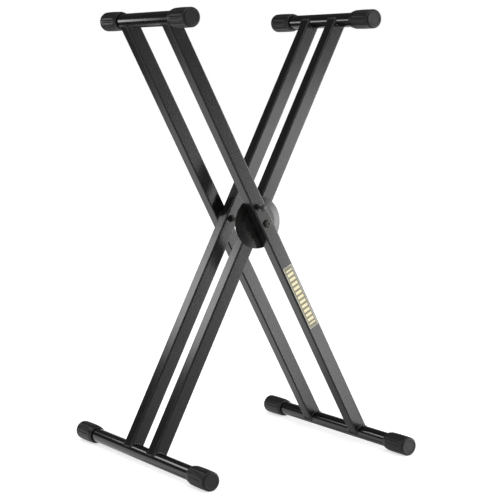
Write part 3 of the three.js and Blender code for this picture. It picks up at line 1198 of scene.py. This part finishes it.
# ---- Spring plunger ----
@dataclass
class SpringPlunger:
    """The pull knob and its pin, with the barrel and spring that carry them."""

    layout: Layout
    disc: LockDisc
    pin_d: float = 6.0
    pin_chamfer: float = 0.8
    travel: float = 6.0
    spring_wire: float = 0.9
    spring_l: float = 8.0
    spring_turns: int = 7
    spring_sides: int = 28
    wire_sides: int = 10
    collar_past_spring: float = 0.2
    collar_t: float = 2.0
    barrel_wall: float = 1.1
    barrel_l: float = 19.0
    flange_ledge: float = 1.7
    flange_flat_ledge: float = 1.2
    flange_t: float = 2.0
    barrel_edge: float = 0.2
    turned_edge: float = 0.15
    knob_wall: float = 3.7
    knob_l: float = 8.0
    knob_dome: float = 3.0
    knob_seat: float = 6.0
    knob_head_l: float = 4.4
    knob_rim_w: float = 0.3
    knob_rim_l: float = 0.5
    neck_wall: float = 1.7
    neck_l: float = 1.0
    neck_flare_w: float = 0.5
    neck_flare_l: float = 0.9

    def __post_init__(self) -> None:
        """Works out the sizes that follow from the pin and the places that follow from the leg."""
        self.bore = self.pin_d + 2 * RUN
        self.spring_d = self.bore + 2 * self.spring_wire
        self.collar_d = self.spring_d + 2 * self.collar_past_spring
        self.barrel_bore = self.collar_d + 2 * RUN
        self.barrel_d = self.barrel_bore + 2 * self.barrel_wall
        self.flange_back = -self.layout.outer_face - SEAT
        self.flange_front = self.flange_back - self.flange_t
        self.spring_seat = self.flange_front + self.flange_t / 2
        self.collar_front = self.spring_seat + SEAT + self.spring_l + SEAT
        self.pin_tip = -self.layout.outer_back - SEAT
        self.knob_back = self.flange_front - SEAT - self.travel

    def place(self) -> Matrix:
        """From the plunger's own axis to the stand."""
        along = Matrix.Translation((0.0, 0.0, self.disc.index_radius))
        return self.layout.leg_space(Frame.OUTER) @ along

    def leg_holes(self) -> list[Blank]:
        """Drills for the plunger's holes in the near outer leg, whose middle is y = 0.

        Returns:
            The barrel's hole in the outside wall and the pin's in the inside wall.
        """
        z, tube = self.disc.index_radius, self.layout.tube
        barrel_hole = Blank.drill(self.barrel_d + 2 * RUN, -tube, 0.0, z=z)
        return [barrel_hole, Blank.drill(self.bore, 0.0, tube, z=z)]

    def build(self) -> None:
        """Builds the barrel, spring, pin and knob."""
        self.barrel()
        self.spring()
        self.pin()
        self.knob()

    def barrel(self) -> None:
        """Builds a thin barrel whose flange, with two spanner flats, sits on the leg."""
        end = -self.layout.outer_face + self.barrel_l
        outside, bore = self.barrel_d / 2, self.bore / 2
        flange_r = outside + self.flange_ledge
        barrel = Blank.turned([
            (bore, self.flange_front),
            (flange_r, self.flange_front),
            (flange_r, self.flange_back),
            (outside, self.flange_back),
            (outside, end),
            (self.barrel_bore / 2, end),
            (self.barrel_bore / 2, self.spring_seat),
            (bore, self.spring_seat),
            (bore, self.flange_front),
        ])
        flat = outside + self.flange_flat_ledge
        depth = self.flange_t + 2 * PAST
        for way in (-1, 1):
            at = (way * (flat + flange_r), self.flange_back - depth / 2, 0.0)
            barrel.cut(Blank.block((2 * flange_r, depth, 4 * flange_r), at))
        barrel.soften(self.barrel_edge)
        barrel.fit("plunger_barrel_turned", self.place(), BLACK_OXIDE, "outer_frame", "plunger_barrel")

    def spring(self) -> None:
        """Builds a closed-up compression spring, wound round the pin."""
        coil = Blank()
        wire_r = self.spring_wire / 2
        start = self.spring_seat + SEAT + wire_r
        pitch = (self.spring_l - self.spring_wire) / self.spring_turns
        at = Matrix.Translation((self.bore / 2 + wire_r, start, 0.0))
        bmesh.ops.create_circle(coil.bm, segments=self.wire_sides, radius=wire_r, matrix=at)
        bmesh.ops.spin(
            coil.bm, geom=coil.bm.verts[:] + coil.bm.edges[:], cent=(0, 0, 0), axis=(0, 1, 0),
            dvec=(0, pitch / self.spring_sides, 0), angle=2 * math.pi * self.spring_turns,
            steps=self.spring_sides * self.spring_turns, use_merge=False,
        )
        bmesh.ops.holes_fill(coil.bm, edges=coil.bm.edges, sides=0)
        coil.fit(
            "plunger_spring_coil", self.place(), ZINC_PLATE, "outer_frame", "plunger_spring",
            smooth_below=60.0,
        )

    def pin(self) -> None:
        """Builds the lock pin, with the collar that the spring pushes and a bevelled tip."""
        r, collar = self.pin_d / 2, self.collar_d / 2
        end = self.knob_back - self.knob_seat + SEAT
        pin = Blank.turned([
            (0.0, end),
            (r, end),
            (r, self.collar_front),
            (collar, self.collar_front),
            (collar, self.collar_front + self.collar_t),
            (r, self.collar_front + self.collar_t),
            (r, self.pin_tip - self.pin_chamfer),
            (r - self.pin_chamfer, self.pin_tip),
            (0.0, self.pin_tip),
        ])
        pin.soften(self.turned_edge)
        pin.fit("lock_pin_turned", self.place(), ZINC_PLATE, "plunger", "lock_pin")

    def knob(self) -> None:
        """Builds the pull knob: a domed, round-edged head on a narrower neck."""
        front = self.knob_back - self.knob_l
        bore = self.bore / 2
        r, neck = bore + self.knob_wall, bore + self.neck_wall
        head_back, neck_front = front + self.knob_head_l, self.knob_back - self.neck_l
        seat = self.knob_back - self.knob_seat
        knob = Blank.turned([
            *rounded_edge(0.0, r, front, front + self.knob_dome),
            (r, head_back - self.knob_rim_l),
            (r - self.knob_rim_w, head_back),
            (neck + self.neck_flare_w, neck_front - self.neck_flare_l),
            (neck, neck_front),
            (neck, self.knob_back),
            (bore, self.knob_back),
            (bore, seat),
            (0.0, seat),
        ])
        knob.soften(self.turned_edge, angle=50.0)
        knob.fit("pull_knob_moulded", self.place(), KNOB_PLASTIC, "plunger", "pull_knob")


# ---- Label ----
@dataclass
class Label:
    """The printed strip down the front of the near outer leg."""

    layout: Layout
    width: float = 24.0
    length: float = 150.0
    thickness: float = 0.4
    start: float = 104.0
    corner: float = 3.0
    edge: float = 0.08

    def build(self) -> None:
        """Builds the strip with its print."""
        back = -self.layout.outer_face - SEAT
        middle = (0.0, back - self.thickness / 2, -self.start - self.length / 2)
        strip = Blank.block((self.width, self.thickness, self.length), middle)
        strip.round_along(Vector((0.0, 1.0, 0.0)), self.corner, segments=8)
        strip.soften(self.edge, segments=1, angle=60.0)
        space = self.layout.leg_space(Frame.OUTER)
        # Screen-printed vinyl: an olive ground, cream bars and a pale border line, under a satin film.
        vinyl = PrintedLabel(
            "screen_printed_vinyl", "label_vinyl", "#77745E", "#807D68", 0.34, 0.04,
            patch_mm=25.0, patch_detail=3.0, grain_mm=3.0, grain_height_mm=0.004,
            width=self.width, length=self.length,
            place=tuple(space @ Vector(middle)), turn=Frame.OUTER.value * self.layout.lean,
        )
        strip.fit("label_strip", space, vinyl, "outer_frame", "label")


# ---- Studio ----
def stand_panel(
    name: str, material: bpy.types.Material, place: Matrix, hidden_from: tuple[str, ...]
) -> None:
    """Stands a flat panel in the studio.

    Args:
        name: the panel's name.
        material: what it is covered with.
        place: from a panel one metre square, flat on the origin, to the panel's own place.
        hidden_from: the kinds of ray that pass it by.
    """
    bm = bmesh.new()
    bmesh.ops.create_grid(bm, x_segments=1, y_segments=1, size=0.5, matrix=place)
    mesh = bpy.data.meshes.new(name)
    bm.to_mesh(mesh)
    bm.free()
    mesh.materials.append(material)
    panel = bpy.data.objects.new(name, mesh)
    bpy.context.scene.collection.objects.link(panel)
    for ray in hidden_from:
        setattr(panel, f"visible_{ray}", False)


@dataclass(frozen=True)
class Softbox:
    """A studio softbox: where it stands, where it points, how large it is and how bright."""

    name: str
    at: Triple
    towards: Triple
    width: float
    height: float
    brightness: float

    def build(self) -> None:
        """Hangs the softbox, out of the camera's sight."""
        data = bpy.data.lights.new(self.name, "AREA")
        data.shape = "RECTANGLE"
        data.size = self.width
        data.size_y = self.height
        # A lamp of this many watts shows a brightness of 1 as white.
        data.energy = self.brightness * math.pi * self.width * self.height
        lamp = bpy.data.objects.new(self.name, data)
        lamp.location = self.at
        lamp.rotation_euler = (Vector(self.towards) - Vector(self.at)).to_track_quat("-Z", "Y").to_euler()
        lamp.visible_camera = False
        bpy.context.scene.collection.objects.link(lamp)


@dataclass(frozen=True)
class Flag:
    """A grey studio panel that only glossy surfaces see."""

    name: str
    low: Triple
    high: Triple
    shade: str = "#4A4A4A"

    def build(self) -> None:
        """Stands the panel between two opposite corners, upright unless they are level."""
        low, high = Vector(self.low), Vector(self.high)
        span = high - low
        side = Vector((0.0, 0.0, span.z)) if span.z else Vector((span.x, 0.0, 0.0))
        across = span - side
        axes = Matrix((across, side, across.cross(side))).transposed().to_4x4()
        material = bpy.data.materials.new(self.name)
        tree = bare_tree(material)
        glow = add_node(tree, "ShaderNodeEmission", {"Color": linear(self.shade), "Strength": 1.0})
        add_node(tree, "ShaderNodeOutputMaterial", {}, {"Surface": glow.outputs[0]})
        place = Matrix.Translation((low + high) / 2) @ axes
        stand_panel(self.name, material, place, ("camera", "diffuse", "shadow", "transmission"))


@dataclass
class Studio:
    """The camera, the floor, the white surroundings and the lights."""

    camera_at: Triple = (-1.78299, -2.82250, 0.81519)
    heading: float = -32.60
    tilt_down: float = 6.64
    roll: float = -0.51
    lens: float = 114.29
    sensor: float = 36.0
    floor_size: float = 28.0
    ambient: float = 0.55
    floor_lift: float = 0.62

    def build(self) -> None:
        """Sets up everything round the stand."""
        bpy.context.scene.view_settings.view_transform = "Standard"
        self.camera()
        self.floor()
        self.world()
        for fixture in (
            Softbox("softbox_back_left", (-0.74, 1.33, 0.88), (0.0, 0.0, 0.40), 0.38, 0.38, 4.3),
            Softbox("strip_front_right", (1.26, -1.72, -0.20), (0.1, 0.0, -0.20), 0.22, 1.9, 7.0),
            Softbox("softbox_right", (1.85, -1.15, 0.45), (0.0, 0.0, 0.45), 0.8, 1.2, 9.0),
            Softbox("softbox_overhead", (-0.6, -0.8, 3.2), (0.0, 0.0, 0.4), 2.4, 2.4, 0.7),
            Flag("flag_back_left", (-2.6, 1.45, 0.09), (0.2, 1.45, 2.6)),
            Flag("flag_back_right", (0.2, 1.45, 0.34), (2.6, 1.45, 2.6)),
            Flag("flag_camera_side", (-3.6, -2.2, -1.0), (-0.6, -3.6, 2.4)),
            Flag("flag_front", (-0.6, -3.6, -1.6), (1.3, -3.0, 2.4)),
            Flag("flag_front_right", (1.3, -3.0, -1.6), (3.2, -2.0, 2.4), "#BDBDBD"),
            Flag("flag_under", (-2.4, -0.2, -0.5), (1.6, 0.9, -0.5), "#A6A6A6"),
        ):
            fixture.build()

    def camera(self) -> None:
        """Stands the camera where the photograph was taken from."""
        data = bpy.data.cameras.new("camera")
        data.lens = self.lens
        data.sensor_width = self.sensor
        camera = bpy.data.objects.new("camera", data)
        camera.matrix_world = (
            Matrix.Translation(self.camera_at)
            @ Matrix.Rotation(math.radians(self.heading), 4, "Z")
            @ Matrix.Rotation(math.radians(90 - self.tilt_down), 4, "X")
            @ Matrix.Rotation(math.radians(self.roll), 4, "Z")
        )
        bpy.context.scene.collection.objects.link(camera)
        bpy.context.scene.camera = camera

    def floor(self) -> None:
        """Lays a plain white floor that keeps the stand's soft shadow."""
        material = bpy.data.materials.new("white_studio_floor")
        tree = bare_tree(material)
        matt = add_node(tree, "ShaderNodeBsdfDiffuse", {"Color": linear("#F2F2F1")})
        camera_ray = add_node(tree, "ShaderNodeLightPath").outputs["Is Camera Ray"]
        lift = add_node(
            tree, "ShaderNodeMath", {"operation": "MULTIPLY", 1: self.floor_lift}, {0: camera_ray}
        ).outputs[0]
        glow = add_node(tree, "ShaderNodeEmission", {"Color": linear("#FFFFFF")}, {"Strength": lift})
        both = add_node(tree, "ShaderNodeAddShader", {}, {0: matt.outputs[0], 1: glow.outputs[0]})
        add_node(tree, "ShaderNodeOutputMaterial", {}, {"Surface": both.outputs[0]})
        place = Matrix.Diagonal((self.floor_size, self.floor_size, 1.0, 1.0))
        stand_panel("floor", material, place, ("glossy", "shadow"))

    def world(self) -> None:
        """Surrounds the stand with white that all but diffuse rays see at full strength."""
        world = bpy.data.worlds.new("white_studio")
        bpy.context.scene.world = world
        tree = bare_tree(world)
        rays = add_node(tree, "ShaderNodeLightPath").outputs
        seen = rays["Is Camera Ray"]
        for kind in ("Is Glossy Ray", "Is Transmission Ray"):
            either = add_node(tree, "ShaderNodeMath", {"operation": "MAXIMUM"}, {0: seen, 1: rays[kind]})
            seen = either.outputs[0]
        strength = add_node(
            tree, "ShaderNodeMapRange", {"To Min": self.ambient, "To Max": 1.0}, {"Value": seen}
        ).outputs[0]
        white = {"Color": linear("#FFFFFF")}
        glow = add_node(tree, "ShaderNodeBackground", white, {"Strength": strength})
        add_node(tree, "ShaderNodeOutputWorld", {}, {"Surface": glow.outputs[0]})


def main() -> None:
    """Builds the stand's sub-assemblies in order, and the studio round them."""
    logging.basicConfig(level=logging.INFO, format="%(name)s: %(message)s")
    layout = Layout()
    Studio().build()
    pivot = Pivot(layout)
    disc = LockDisc(layout, pivot)
    plunger = SpringPlunger(layout, disc)
    for owner, near_holes in ((Frame.OUTER, plunger.leg_holes()), (Frame.INNER, disc.leg_holes())):
        holes = {Side.NEAR: [pivot.leg_hole(owner), *near_holes], Side.FAR: [pivot.leg_hole(owner)]}
        TubeFrame(layout, owner).build(holes)
    cap = RubberCap()
    for owner in Frame:
        for end in ENDS:
            for side in Side:
                cap.build(f"{owner.word}_{end}_bar", side, owner.body)
    pivot.build()
    disc.build()
    plunger.build()
    Label(layout).build()


if __name__ == "__main__":
    main()
